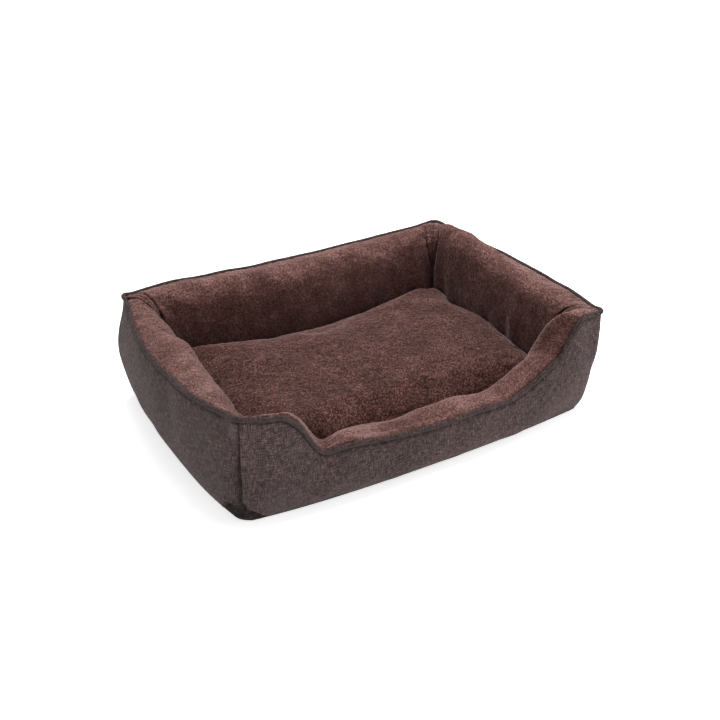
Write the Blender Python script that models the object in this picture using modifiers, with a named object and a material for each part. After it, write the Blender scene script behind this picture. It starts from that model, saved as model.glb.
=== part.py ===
"""Rectangular pet bed: four filled bolster walls with a woven outside and a plush lining, a piped
rim that drops to a low entry at the front, a padded floor, and a loose cushion with a concealed
zip in its underside.

Metres, +Z up. The origin is on the floor under the middle of the bed, +X runs along the long
sides and the low entry faces -Y.
"""

import math
from collections import namedtuple

import bmesh
import bpy
from mathutils import Vector

# ---- Driving dimensions: the walls -----------------------------------------------------------
RIM_WIDTH = 0.66  # piping line, corner to corner along X
RIM_DEPTH = 0.484  # piping line, corner to corner along Y
RIM_HEIGHT = 0.192  # piping line above the floor at the corners
RIM_CORNER_RADIUS = 0.012
LONG_RIM_BOW = 0.014  # how far the front and back rims bow outward
SHORT_RIM_BOW = 0.030  # how far the left and right rims bow outward
RIM_SAGS = {"front": 0.0, "right": 0.008, "back": 0.012, "left": 0.016}
ENTRY_HEIGHT = 0.085  # piping line above the floor at the entry
# The entry's edge: shares of the front's length between which the rim drops or rises, and how
# much of the entry's depth it does there.
ENTRY_STEPS = (
    (0.01, 0.12, 0.12),
    (0.08, 0.205, 0.73),
    (0.20, 0.50, 0.15),
    (0.70, 0.95, -0.56),
    (0.865, 0.945, -0.44),
)
FOOT_SHORT_INSET = 0.002  # how far the foot of the left and right walls is inside the rim
FOOT_LONG_INSET = 0.018  # how far the foot of the front and back walls is inside the rim
FOOT_BOW = 0.016
BELLY_SWELL = 0.010  # control bulge of the outer faces past the rim's corners
LOW_BELLY_BOW = 0.026
LOW_BELLY_RISE = 0.24  # height of the lower control ring, as a share of the wall
SHORT_WALL = 0.032  # nest's edge inside the rim line, left and right
LONG_WALL = 0.052  # nest's edge inside the rim line, front and back
NEST_CORNER_RADIUS = 0.048
WALL_SWELL = 0.008  # control bulge of the walls into the nest
CROWN_AT_CORNER = 0.020  # control height of the lining's crest above the rim
CROWN_AT_MIDDLE = 0.045
BOW_FULLNESS = 0.06  # how blunt the ends of a bowed side are

# ---- Driving dimensions: cloth, wadding and piping -------------------------------------------
OUTER_CLOTH = 0.0015
PLUSH_CLOTH = 0.003
BASE_CLOTH = 0.002
BASE_WADDING = 0.006
FLOOR_CLOTH = 0.002
PIPING_RADIUS = 0.0035
PIPING_COVER = 0.001
PIPING_FLANGE = 0.003  # how far the cover's two tails reach past the round
CLEARANCE = 0.0004  # between neighbouring pieces
FILL_GAP = 0.0015  # between a wall's filling and the cloth round it
CUSHION_FILL_GAP = 0.003  # between the cushion's filling and its top face

# ---- Driving dimensions: the cushion and its zip ---------------------------------------------
CUSHION_FIT = 0.004  # between the cushion and the narrowest part of the nest
CUSHION_CORNER_RADIUS = 0.044
CUSHION_SEAM_HEIGHT = 0.033  # seam above the cushion's underside
CUSHION_RISE = 0.040  # top face above the seam
CUSHION_SEAM_GAP = 0.0022  # between the edges of the two faces, which lean towards each other
CUSHION_CROWN = 0.007  # extra height in the middle
CUSHION_SQUARENESS = 10  # power of the superellipse across the cushion's edge
CUSHION_FLATNESS = 1.35  # underside levelled off beyond this share of its curve
ZIP_LENGTH = 0.34
ZIP_INSET = 0.052  # zip line inside the cushion's rear edge
CHAIN_WIDTH = 0.0052
CHAIN_HEIGHT = 0.0014
TAPE_WIDTH = 0.0105
TAPE_CLOTH = 0.0008
STOP_LENGTH = 0.0025
SLIDER_LENGTH = 0.011
SLIDER_PLATE = 0.001
SLIDER_CHEEK = 0.0008
PULL_LENGTH = 0.026
PULL_WIDTH = 0.006

# ---- Worked out from them --------------------------------------------------------------------
FOOT = BASE_CLOTH + CLEARANCE
FLOOR_FOOT = FOOT + BASE_WADDING + CLEARANCE
CUSHION_FOOT = FLOOR_FOOT + FLOOR_CLOTH + CLEARANCE
SEAM = PIPING_RADIUS + CLEARANCE
NEST_WIDTH = RIM_WIDTH - 2 * SHORT_WALL
NEST_DEPTH = RIM_DEPTH - 2 * LONG_WALL
CUSHION_WIDTH = NEST_WIDTH - 2 * (WALL_SWELL / 2 + CUSHION_FIT)
CUSHION_DEPTH = NEST_DEPTH - 2 * (WALL_SWELL / 2 + CUSHION_FIT)
CUSHION_SEAM = CUSHION_FOOT + CUSHION_SEAM_HEIGHT
ZIP_LINE = CUSHION_DEPTH / 2 - ZIP_INSET
CHEEK_REACH = CHAIN_WIDTH / 2 + CLEARANCE + SLIDER_CHEEK
SLOT_WIDTH = 2 * (CHEEK_REACH + CLEARANCE)
CHAIN_FOOT = CUSHION_FOOT + SLIDER_PLATE + 2 * CLEARANCE
TAPE_FOOT = CUSHION_FOOT + OUTER_CLOTH + CLEARANCE
ZIP_ROOF = CHAIN_FOOT + CHAIN_HEIGHT + 2 * CLEARANCE

SIDES = ("front", "right", "back", "left")
STATIONS = {"front": 34, "right": 16, "back": 22, "left": 16}
STATION_EASE = 0.75  # how far the stations crowd towards the corners
WALL_ROWS = 7
FILL_ROWS = 6  # of the wall's rows, from the floor up
CUSHION_COLUMNS = 28
CUSHION_ROWS = 18

# Colour, roughness and metallic value of each material.
LOOKS = {
    "woven_cloth": ((0.095, 0.062, 0.058), 0.95, 0.0),
    "plush": ((0.135, 0.070, 0.062), 1.0, 0.0),
    "base_cloth": ((0.015, 0.014, 0.014), 0.8, 0.0),
    "fibre_fill": ((0.80, 0.80, 0.78), 1.0, 0.0),
    "piping_cord": ((0.75, 0.74, 0.70), 0.9, 0.0),
    "zip_tape": ((0.050, 0.034, 0.032), 0.9, 0.0),
    "zip_coil": ((0.040, 0.028, 0.026), 0.45, 0.0),
    "zip_metal": ((0.060, 0.050, 0.048), 0.35, 0.9),
}

Ring = namedtuple("Ring", "width depth radius long_bow short_bow")


# ---- Shapes of the walls ---------------------------------------------------------------------
def inset_ring(short_inset, long_inset, radius, long_bow, short_bow):
    """A rounded rectangle inside the rim line, whose sides may bow outward."""
    width = RIM_WIDTH - 2 * short_inset
    depth = RIM_DEPTH - 2 * long_inset
    return Ring(width, depth, radius, long_bow, short_bow)


RIM = inset_ring(0, 0, RIM_CORNER_RADIUS, LONG_RIM_BOW, SHORT_RIM_BOW)
FOOT_RING = inset_ring(FOOT_SHORT_INSET, FOOT_LONG_INSET, 0.020, FOOT_BOW, FOOT_BOW)
LOW_BELLY_RING = inset_ring(-BELLY_SWELL, -BELLY_SWELL, 0.020, LOW_BELLY_BOW, LOW_BELLY_BOW)
HIGH_BELLY_RING = inset_ring(-BELLY_SWELL, -BELLY_SWELL / 2, 0.016, LONG_RIM_BOW, SHORT_RIM_BOW)
OUTER_TOP_RING = inset_ring(
    -OUTER_CLOTH / 2, -OUTER_CLOTH / 2, RIM_CORNER_RADIUS, LONG_RIM_BOW, SHORT_RIM_BOW
)
NEST_RING = inset_ring(SHORT_WALL, LONG_WALL, NEST_CORNER_RADIUS, 0, 0)
SWELL_RING = inset_ring(SHORT_WALL + WALL_SWELL, LONG_WALL + WALL_SWELL, NEST_CORNER_RADIUS, 0, 0)
CROWN_RING = inset_ring(
    SHORT_WALL + WALL_SWELL / 2, LONG_WALL - WALL_SWELL, NEST_CORNER_RADIUS, 0, 0
)
LINING_TOP_RING = inset_ring(SEAM, SEAM, RIM_CORNER_RADIUS - SEAM, LONG_RIM_BOW, SHORT_RIM_BOW)


def smooth_step(low, high, value):
    part = min(max((value - low) / (high - low), 0), 1)
    return part * part * (3 - 2 * part)


def arch(share):
    """0 at both ends of a side and 1 in its middle."""
    share = min(max(share, 0), 1)
    full = math.sin(math.pi * share) + BOW_FULLNESS * math.sin(3 * math.pi * share)
    return full / (1 - BOW_FULLNESS)


def plan_point(ring, side, share):
    """Plan position at a share of the way along a side, from one corner's diagonal to the next."""
    is_long = side in ("front", "back")
    length = ring.width if is_long else ring.depth
    reach = ring.depth / 2 if is_long else ring.width / 2
    bow = ring.long_bow if is_long else ring.short_bow
    arc = ring.radius * math.pi / 4
    straight = length - 2 * ring.radius
    travel = (share - 0.5) * (straight + 2 * arc)
    past = abs(travel) - straight / 2
    if past > 0:
        angle = past / ring.radius
        along = math.copysign(straight / 2 + ring.radius * math.sin(angle), travel)
        reach -= ring.radius * (1 - math.cos(angle))
    else:
        along = travel
    out = reach + bow * arch(share)
    return {
        "front": Vector((along, -out)),
        "right": Vector((out, along)),
        "back": Vector((-along, out)),
        "left": Vector((-out, -along)),
    }[side]


def rim_height(side, share):
    """Height of the middle of the piping."""
    height = RIM_HEIGHT - RIM_SAGS[side] * arch(share)
    if side == "front":
        sunk = sum(part * smooth_step(start, end, share) for start, end, part in ENTRY_STEPS)
        height -= (RIM_HEIGHT - ENTRY_HEIGHT) * sunk
    return height


def rim_stretch(side, share):
    """Length of the rim over its length in plan, which is more than 1 where it slopes."""
    step = 0.004
    low, high = share - step, share + step
    run = (plan_point(RIM, side, high) - plan_point(RIM, side, low)).length
    return math.hypot(1, (rim_height(side, high) - rim_height(side, low)) / run)


def at_height(ring, side, share, height):
    return plan_point(ring, side, share).to_3d() + Vector((0, 0, height))


def bezier(points, part):
    rest = 1 - part
    weights = (rest**3, 3 * rest**2 * part, 3 * rest * part**2, part**3)
    return sum((point * weight for point, weight in zip(points, weights)), Vector((0, 0, 0)))


def outer_surface(side, share, rise):
    """Outside of the woven cover, from the floor up to just under the piping."""
    top = rim_height(side, share) - SEAM * rim_stretch(side, share)
    rings = (FOOT_RING, LOW_BELLY_RING, HIGH_BELLY_RING, OUTER_TOP_RING)
    heights = (FOOT, FOOT + (top - FOOT) * LOW_BELLY_RISE, FOOT + (top - FOOT) * 2 / 3, top)
    return bezier([at_height(r, side, share, h) for r, h in zip(rings, heights)], rise)


def lining_surface(side, share, rise):
    """Plush face of a wall, from the nest's floor up over the crest to the piping."""
    rim = rim_height(side, share)
    crown = CROWN_AT_CORNER + (CROWN_AT_MIDDLE - CROWN_AT_CORNER) * arch(share)
    rings = (NEST_RING, SWELL_RING, CROWN_RING, LINING_TOP_RING)
    heights = (FLOOR_FOOT, FLOOR_FOOT + (rim - FLOOR_FOOT) * 0.67, rim + crown, rim + PLUSH_CLOTH / 2)
    return bezier([at_height(r, side, share, h) for r, h in zip(rings, heights)], rise)


def shifted(surface, side, share, rise, distance):
    """A point of a wall's surface moved along its normal, away from the nest's middle."""
    step = 0.002
    along = surface(side, share + step, rise) - surface(side, share - step, rise)
    up = surface(side, share, rise + step) - surface(side, share, rise - step)
    return surface(side, share, rise) + along.cross(up).normalized() * distance


def station(side, part):
    """Share of a side for an even part of its stations, crowded and cut back at the corners."""
    share = part - STATION_EASE * math.sin(2 * math.pi * part) / (2 * math.pi)
    length = RIM_WIDTH if side in ("front", "back") else RIM_DEPTH
    cut = CLEARANCE * 1.5 / length
    return cut + share * (1 - 2 * cut)


# ---- Making objects --------------------------------------------------------------------------
def clear_scene():
    for old in list(bpy.data.objects):
        bpy.data.objects.remove(old, do_unlink=True)


def make_material(name):
    colour, roughness, metallic = LOOKS[name]
    material = bpy.data.materials.new(name)
    material.use_nodes = True
    shader = material.node_tree.nodes["Principled BSDF"]
    shader.inputs["Base Color"].default_value = (*colour, 1)
    shader.inputs["Roughness"].default_value = roughness
    shader.inputs["Metallic"].default_value = metallic
    material.diffuse_color = (*colour, 1)
    return material


def make_collection(name):
    collection = bpy.data.collections.new(name)
    bpy.context.scene.collection.children.link(collection)
    return collection


def add_object(name, data, look):
    made = bpy.data.objects.new(name, data)
    bed_parts.objects.link(made)
    data.materials.append(make_material_once(look))
    return made


def make_material_once(look):
    return bpy.data.materials.get(look) or make_material(look)


def add_sheet(name, columns, rows, place, thickness, offset, look):
    """A sheet of cloth: a grid put where place(across, up) says, both from 0 to 1, then thickened."""
    shape = bmesh.new()
    bmesh.ops.create_grid(shape, x_segments=columns, y_segments=rows, size=0.5)
    for vertex in shape.verts:
        vertex.co = place(vertex.co.x + 0.5, vertex.co.y + 0.5)
    sheet = add_object(name, mesh_from(shape, name), look)
    solidify = sheet.modifiers.new("Cloth thickness", "SOLIDIFY")
    solidify.thickness = thickness
    solidify.offset = offset
    return sheet


def add_block(name, counts, place, look):
    """A closed block: a cube divided along its three axes, put where place(x, y, z) says."""
    shape = bmesh.new()
    bmesh.ops.create_cube(shape, size=1)
    for axis, count in enumerate(counts):
        edges = [
            edge
            for edge in shape.edges
            if abs(edge.verts[0].co[axis] - edge.verts[1].co[axis]) > 0.5
        ]
        bmesh.ops.subdivide_edges(shape, edges=edges, cuts=count - 1, use_grid_fill=True)
    for vertex in shape.verts:
        vertex.co = place(vertex.co.x + 0.5, vertex.co.y + 0.5, vertex.co.z + 0.5)
    return add_object(name, mesh_from(shape, name), look)


def mesh_from(shape, name):
    mesh = bpy.data.meshes.new(name)
    shape.to_mesh(mesh)
    shape.free()
    mesh.shade_smooth()
    mesh.set_sharp_from_angle(angle=math.radians(50))
    return mesh


def add_box(name, low, high, collection, look=None):
    """A box between two opposite corners."""
    low, high = Vector(low), Vector(high)
    shape = bmesh.new()
    bmesh.ops.create_cube(shape, size=1)
    for vertex in shape.verts:
        vertex.co = Vector(v * s for v, s in zip(vertex.co, high - low))
    box = bpy.data.objects.new(name, mesh_from(shape, name))
    box.location = (low + high) / 2
    collection.objects.link(box)
    if look:
        box.data.materials.append(make_material_once(look))
    return box


def cut(piece, cutter):
    """Take the cutter's shape out of the piece."""
    cutter.hide_render = True
    cutter.display_type = "WIRE"
    boolean = piece.modifiers.new("Cut by " + cutter.name, "BOOLEAN")
    boolean.operation = "DIFFERENCE"
    boolean.object = cutter


def add_plate(name, ring, foot, thickness, look):
    """A flat sheet of cloth with the outline of a ring."""
    curve = bpy.data.curves.new(name, "CURVE")
    curve.dimensions = "2D"
    curve.fill_mode = "BOTH"
    curve.extrude = thickness / 2
    points = [
        plan_point(ring, side, station(side, i / STATIONS[side]))
        for side in SIDES
        for i in range(0, STATIONS[side], 2)
    ]
    spline = curve.splines.new("POLY")
    spline.points.add(len(points) - 1)
    for target, point in zip(spline.points, points):
        target.co = (point.x, point.y, 0, 1)
    spline.use_cyclic_u = True
    plate = add_object(name, curve, look)
    plate.location.z = foot + thickness / 2
    return plate


# ---- The bed ---------------------------------------------------------------------------------
def add_walls():
    for side in SIDES:
        count = STATIONS[side]

        def outer_place(across, up, side=side):
            return outer_surface(side, station(side, across), up)

        def lining_place(across, up, side=side):
            return lining_surface(side, station(side, across), up)

        add_sheet(f"outer_{side}_panel", count, WALL_ROWS, outer_place, OUTER_CLOTH, -1, "woven_cloth")
        add_sheet(f"lining_{side}_panel", count, WALL_ROWS, lining_place, PLUSH_CLOTH, 1, "plush")
        add_bolster_fill(side)


def add_bolster_fill(side):
    """The filling of one wall, between the two cloths and clear of the piping's flange."""
    lining_gap = PLUSH_CLOTH + FILL_GAP
    outer_gap = OUTER_CLOTH + FILL_GAP

    def place(along, across, up):
        share = station(side, along)
        rise = up * FILL_ROWS / WALL_ROWS
        inner = shifted(lining_surface, side, share, rise, lining_gap)
        outer = shifted(outer_surface, side, share, rise, -outer_gap)
        if up == 0:
            inner.z = FOOT + CLEARANCE
            outer.z = max(outer.z, inner.z)
        return outer.lerp(inner, across)

    add_block(f"bolster_fill_{side}", (STATIONS[side], 2, FILL_ROWS), place, "fibre_fill")


def rim_path(name):
    """A closed line along the middle of the piping."""
    points = [
        at_height(RIM, side, share, rim_height(side, share))
        for side in SIDES
        for share in (station(side, i / STATIONS[side]) for i in range(STATIONS[side]))
    ]
    curve = bpy.data.curves.new(name, "CURVE")
    curve.dimensions = "3D"
    curve.twist_mode = "Z_UP"
    spline = curve.splines.new("POLY")
    spline.points.add(len(points) - 1)
    for target, point in zip(spline.points, points):
        target.co = (*point, 1)
    spline.use_cyclic_u = True
    return curve


def add_piping():
    cord = rim_path("rim_piping_cord")
    cord.bevel_depth = PIPING_RADIUS - PIPING_COVER - CLEARANCE
    cord.bevel_resolution = 2
    add_object("rim_piping_cord", cord, "piping_cord")

    cover = rim_path("rim_piping_cover")
    cover.bevel_mode = "OBJECT"
    cover.bevel_object = piping_section()
    add_object("rim_piping_cover", cover, "woven_cloth")


def piping_section():
    """Section of the cord's cover: a round strip whose two tails run down into the seam."""
    opening = math.radians(20)  # half of the slit between the tails, seen from the middle
    slit = math.radians(225)  # the tails point down and towards the nest
    inner = PIPING_RADIUS - PIPING_COVER
    steps = 7
    sweep = [slit + opening + (2 * math.pi - 2 * opening) * i / steps for i in range(steps + 1)]
    ring_out = [Vector((math.cos(a), math.sin(a))) * PIPING_RADIUS for a in sweep]
    ring_in = [Vector((math.cos(a), math.sin(a))) * inner for a in sweep]
    tail = Vector((math.cos(slit), math.sin(slit))) * (PIPING_FLANGE + PIPING_COVER)
    outline = [ring_out[0] + tail, *ring_out, ring_out[-1] + tail]
    outline += [ring_in[-1] + tail, *reversed(ring_in), ring_in[0] + tail]
    curve = bpy.data.curves.new("piping_section", "CURVE")
    curve.dimensions = "2D"
    spline = curve.splines.new("POLY")
    spline.points.add(len(outline) - 1)
    for target, point in zip(spline.points, reversed(outline)):
        target.co = (point.x, point.y, 0, 1)
    spline.use_cyclic_u = True
    section = bpy.data.objects.new("piping_section", curve)
    section.hide_render = True
    section.display_type = "WIRE"
    cutters.objects.link(section)
    return section


def add_base():
    lining_inset = CLEARANCE * 2
    floor_ring = inset_ring(
        SHORT_WALL + lining_inset, LONG_WALL + lining_inset, NEST_CORNER_RADIUS - lining_inset, 0, 0
    )
    add_plate("base_panel", FOOT_RING, 0, BASE_CLOTH, "base_cloth")
    add_plate("base_wadding", floor_ring, FOOT, BASE_WADDING, "fibre_fill")
    add_plate("floor_lining", floor_ring, FLOOR_FOOT, FLOOR_CLOTH, "plush")


# ---- The cushion -----------------------------------------------------------------------------
def cushion_plan(across, up, inset):
    """Plan point for a place on a square from -1 to 1, and how near the edge it is (1 is on it)."""
    reach = max(abs(across), abs(up))
    if reach < 1e-6:
        return Vector((0, 0)), 0
    if abs(up) >= abs(across):
        side = "front" if up < 0 else "back"
        sideways = across if up < 0 else -across
    else:
        side = "right" if across > 0 else "left"
        sideways = up if across > 0 else -up
    near = math.sin(reach * math.pi / 2)
    edge = Ring(CUSHION_WIDTH, CUSHION_DEPTH, CUSHION_CORNER_RADIUS, 0, 0)
    plan = plan_point(edge, side, (sideways / reach + 1) / 2) * near
    plan.x *= 1 - 2 * inset / CUSHION_WIDTH
    plan.y *= 1 - 2 * inset / CUSHION_DEPTH
    return plan, near


def cushion_top(across, up, inset):
    plan, near = cushion_plan(across, up, inset)
    rise = (CUSHION_RISE - inset) * math.sqrt(max(0, 1 - near**CUSHION_SQUARENESS))
    crown = CUSHION_CROWN * (1 - near**2)
    return plan.to_3d() + Vector((0, 0, CUSHION_SEAM + CUSHION_SEAM_GAP / 2 + rise + crown))


def cushion_underside(across, up, inset):
    plan, near = cushion_plan(across, up, inset)
    curve = CUSHION_FLATNESS * math.sqrt(max(0, 1 - near**CUSHION_SQUARENESS))
    drop = (CUSHION_SEAM_HEIGHT - CUSHION_SEAM_GAP / 2 - inset) * min(1, curve)
    return plan.to_3d() + Vector((0, 0, CUSHION_SEAM - CUSHION_SEAM_GAP / 2 - drop))


def add_cushion():
    top = add_sheet(
        "cushion_top_panel",
        CUSHION_COLUMNS,
        CUSHION_ROWS,
        lambda x, y: cushion_top(2 * x - 1, 2 * y - 1, 0),
        PLUSH_CLOTH,
        -1,
        "plush",
    )
    underside = add_sheet(
        "cushion_bottom_panel",
        CUSHION_COLUMNS,
        CUSHION_ROWS,
        lambda x, y: cushion_underside(1 - 2 * x, 2 * y - 1, 0),
        OUTER_CLOTH,
        -1,
        "woven_cloth",
    )
    slot_end = ZIP_LENGTH / 2 + STOP_LENGTH + PULL_LENGTH
    slot = add_box(
        "zip_slot",
        (-slot_end, ZIP_LINE - SLOT_WIDTH / 2, CUSHION_FOOT - 0.01),
        (slot_end, ZIP_LINE + SLOT_WIDTH / 2, CHAIN_FOOT),
        cutters,
    )
    cut(underside, slot)
    fill = add_cushion_fill()
    half_groove = SLOT_WIDTH / 2 + TAPE_WIDTH + CLEARANCE * 2
    groove = add_box(
        "zip_groove",
        (-slot_end, ZIP_LINE - half_groove, CUSHION_FOOT - 0.01),
        (slot_end, ZIP_LINE + half_groove, ZIP_ROOF + CLEARANCE),
        cutters,
    )
    cut(fill, groove)
    return [top, underside, fill]


def add_cushion_fill():
    top_gap = PLUSH_CLOTH + CUSHION_FILL_GAP
    under_gap = OUTER_CLOTH + CUSHION_FILL_GAP / 2

    def place(across, up, high):
        upper = cushion_top(2 * across - 1, 2 * up - 1, top_gap)
        lower = cushion_underside(2 * across - 1, 2 * up - 1, under_gap)
        lower.xy = upper.xy
        return upper if high > 0.5 else lower

    return add_block("cushion_fill", (CUSHION_COLUMNS, CUSHION_ROWS, 1), place, "fibre_fill")


def add_zip():
    """The zip under the cushion: two tapes, the closed chain between them and its stops."""
    half = ZIP_LENGTH / 2
    chain_top = CHAIN_FOOT + CHAIN_HEIGHT
    pieces = [
        add_box(
            "zip_chain",
            (-half, ZIP_LINE - CHAIN_WIDTH / 2, CHAIN_FOOT),
            (half, ZIP_LINE + CHAIN_WIDTH / 2, chain_top),
            bed_parts,
            "zip_coil",
        )
    ]
    for name, end in (("zip_top_stop", 1), ("zip_bottom_stop", -1)):
        near, far = half + CLEARANCE, half + CLEARANCE + STOP_LENGTH
        low_x, high_x = sorted((end * near, end * far))
        pieces.append(
            add_box(
                name,
                (low_x, ZIP_LINE - CHEEK_REACH, CHAIN_FOOT),
                (high_x, ZIP_LINE + CHEEK_REACH, chain_top),
                bed_parts,
                "zip_metal",
            )
        )
    for name, way in (("zip_tape_front", -1), ("zip_tape_rear", 1)):
        near = SLOT_WIDTH / 2 + CLEARANCE
        low_y, high_y = sorted((way * near, way * (near + TAPE_WIDTH)))
        pieces.append(
            add_box(
                name,
                (-half - STOP_LENGTH, ZIP_LINE + low_y, TAPE_FOOT),
                (half + STOP_LENGTH, ZIP_LINE + high_y, TAPE_FOOT + TAPE_CLOTH),
                bed_parts,
                "zip_tape",
            )
        )
    return pieces


def add_slider():
    """The slider, a channel round the chain's outer face, and its pull lying in the slot."""
    start = ZIP_LENGTH / 2 - CLEARANCE - SLIDER_LENGTH / 2
    plate_foot = CUSHION_FOOT + CLEARANCE
    plate_top = plate_foot + SLIDER_PLATE
    cheek_top = CHAIN_FOOT + CHAIN_HEIGHT * 0.7
    inside = CHEEK_REACH - SLIDER_CHEEK
    half_outline = [
        (CHEEK_REACH, plate_foot),
        (CHEEK_REACH, cheek_top),
        (inside, cheek_top),
        (inside, plate_top),
    ]
    outline = half_outline + [(-y, z) for y, z in reversed(half_outline)]
    curve = bpy.data.curves.new("zip_slider", "CURVE")
    curve.dimensions = "2D"
    curve.fill_mode = "BOTH"
    curve.extrude = SLIDER_LENGTH / 2
    spline = curve.splines.new("POLY")
    spline.points.add(len(outline) - 1)
    for target, (y, z) in zip(spline.points, outline):
        target.co = (y, z - plate_foot, 0, 1)
    spline.use_cyclic_u = True
    slider = add_object("zip_slider", curve, "zip_metal")
    # The curve's own X, Y and Z axes lie along the bed's Y, Z and X.
    slider.rotation_euler = (math.radians(90), 0, math.radians(90))
    slider.location = (start, ZIP_LINE, plate_foot)

    pull_end = start - SLIDER_LENGTH / 2 - CLEARANCE
    pull = add_box(
        "zip_pull",
        (pull_end - PULL_LENGTH, ZIP_LINE - PULL_WIDTH / 2, plate_foot),
        (pull_end, ZIP_LINE + PULL_WIDTH / 2, plate_top),
        bed_parts,
        "zip_metal",
    )
    corners = pull.modifiers.new("Round corners", "BEVEL")
    corners.width = SLIDER_PLATE * 0.3
    corners.segments = 1
    return [slider, pull]


def add_axis(name, location):
    """An empty on a joint's axis, which carries what moves with the joint."""
    axis = bpy.data.objects.new(name, None)
    axis.empty_display_size = 0.03
    axis.location = location
    bed_parts.objects.link(axis)
    return axis


def carry(axis, pieces):
    """Parent the pieces to an axis without moving them."""
    bpy.context.view_layer.update()
    for piece in pieces:
        piece.parent = axis
        piece.matrix_parent_inverse = axis.matrix_world.inverted()


clear_scene()
bed_parts = make_collection("pet_cushion_bed")
cutters = make_collection("cutters_and_guides")

add_walls()
add_piping()
add_base()

lift_axis = add_axis("cushion_lift_axis", (0, 0, CUSHION_FOOT))
travel_axis = add_axis("zip_travel_axis", (ZIP_LENGTH / 2, ZIP_LINE, CUSHION_FOOT))
carry(travel_axis, add_slider())
carry(lift_axis, [*add_cushion(), *add_zip(), travel_axis])
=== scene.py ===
"""Looks for the rectangular pet bed: simulated walls and cushion, plush pile, woven cover, piping,
grip base and the cushion's zip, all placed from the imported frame's own sizes.
"""

import math
from collections import namedtuple

import bmesh
import bpy
import numpy as np
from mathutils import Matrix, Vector


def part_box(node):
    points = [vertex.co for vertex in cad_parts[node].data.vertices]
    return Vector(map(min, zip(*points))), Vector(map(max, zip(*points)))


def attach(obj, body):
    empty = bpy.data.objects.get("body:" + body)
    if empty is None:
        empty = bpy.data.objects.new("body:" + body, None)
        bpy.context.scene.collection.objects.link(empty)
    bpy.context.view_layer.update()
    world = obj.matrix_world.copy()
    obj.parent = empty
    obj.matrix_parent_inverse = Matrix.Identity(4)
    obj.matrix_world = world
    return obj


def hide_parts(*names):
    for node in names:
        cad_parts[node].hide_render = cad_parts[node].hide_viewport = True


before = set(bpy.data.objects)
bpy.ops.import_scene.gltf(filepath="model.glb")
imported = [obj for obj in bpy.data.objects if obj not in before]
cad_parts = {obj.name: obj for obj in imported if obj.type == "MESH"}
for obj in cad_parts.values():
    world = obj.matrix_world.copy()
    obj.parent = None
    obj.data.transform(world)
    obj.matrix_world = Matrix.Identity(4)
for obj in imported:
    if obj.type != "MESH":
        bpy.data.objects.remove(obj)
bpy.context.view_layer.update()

# ---- Sizes of the frame, as its source has them ----------------------------------------------
RIM_WIDTH = 0.66
RIM_DEPTH = 0.484
RIM_HEIGHT = 0.192
RIM_CORNER_RADIUS = 0.012
LONG_RIM_BOW = 0.014
SHORT_RIM_BOW = 0.030
RIM_SAGS = {"front": 0.0, "right": 0.008, "back": 0.012, "left": 0.016}
ENTRY_HEIGHT = 0.085
# Shares of the front between which the rim drops or rises, and how much of the entry's depth.
ENTRY_STEPS = (
    (0.01, 0.12, 0.12),
    (0.08, 0.205, 0.73),
    (0.20, 0.50, 0.15),
    (0.70, 0.95, -0.56),
    (0.865, 0.945, -0.44),
)
FOOT_SHORT_INSET = 0.002
FOOT_LONG_INSET = 0.018
FOOT_BOW = 0.016
BELLY_SWELL = 0.010
LOW_BELLY_BOW = 0.026
LOW_BELLY_RISE = 0.24
SHORT_WALL = 0.032
LONG_WALL = 0.052
NEST_CORNER_RADIUS = 0.048
WALL_SWELL = 0.008
CROWN_AT_CORNER = 0.020
CROWN_AT_MIDDLE = 0.045
BOW_FULLNESS = 0.06
OUTER_CLOTH = 0.0015
PLUSH_CLOTH = 0.003
BASE_CLOTH = 0.002
BASE_WADDING = 0.006
FLOOR_CLOTH = 0.002
PIPING_RADIUS = 0.0035
PIPING_COVER = 0.001
CLEARANCE = 0.0004
CUSHION_FIT = 0.004
CUSHION_CORNER_RADIUS = 0.044
CUSHION_SEAM_HEIGHT = 0.033
CUSHION_RISE = 0.040
CUSHION_CROWN = 0.007
CUSHION_SQUARENESS = 10
CUSHION_FLATNESS = 1.35
ZIP_SLOT_END = 0.1985
ZIP_SLOT_WIDTH = 0.0084
FOOT = BASE_CLOTH + CLEARANCE
FLOOR_FOOT = FOOT + BASE_WADDING + CLEARANCE
CUSHION_FOOT = FLOOR_FOOT + FLOOR_CLOTH + CLEARANCE
CUSHION_SEAM = CUSHION_FOOT + CUSHION_SEAM_HEIGHT
SEAM = PIPING_RADIUS + CLEARANCE
NEST_WIDTH = RIM_WIDTH - 2 * SHORT_WALL
NEST_DEPTH = RIM_DEPTH - 2 * LONG_WALL
CUSHION_WIDTH = NEST_WIDTH - 2 * (WALL_SWELL / 2 + CUSHION_FIT)
CUSHION_DEPTH = NEST_DEPTH - 2 * (WALL_SWELL / 2 + CUSHION_FIT)

# ---- How finely the cloth is simulated and shown ---------------------------------------------
SIDES = ("front", "right", "back", "left")
COARSE_CELL = 0.0082
LINING_CELL = 0.0016
OUTER_CELL = 0.0021
CUSHION_CELL = 0.0017
CUSHION_COARSE_CELL = 0.0085
UNDERSIDE_COLUMNS = 140
UNDERSIDE_ROWS = 90
PIPING_SHOWN = 0.0038  # radius of the piping as it shows
PADDING_INSET = 0.0045  # how far the walls' filling lies behind their cloth
OUTER_CAP = 0.006  # how far the simulation may move the outer cover
LINING_CAPS = (0.0025, 0.009)  # the same for the lining, by the floor and on the crest
CUSHION_CAPS = (0.003, 0.005)  # the same for the cushion, sideways and up
CORNER_HOLD = 0.9  # how firmly the lining is pinned at the corners
OUTER_ROWS = 24
LINING_ROWS = 30
STATION_EASE = 0.45
SEAM_ALLOWANCE = 0.0018  # the last column of each wall cloth is turned in by this much

Ring = namedtuple("Ring", "width depth radius long_bow short_bow")
# A soft push on the cloth: round the rim at a share of a side, at a rise up the cloth.
Push = namedtuple("Push", "side share spread rise rise_spread out up")


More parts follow.
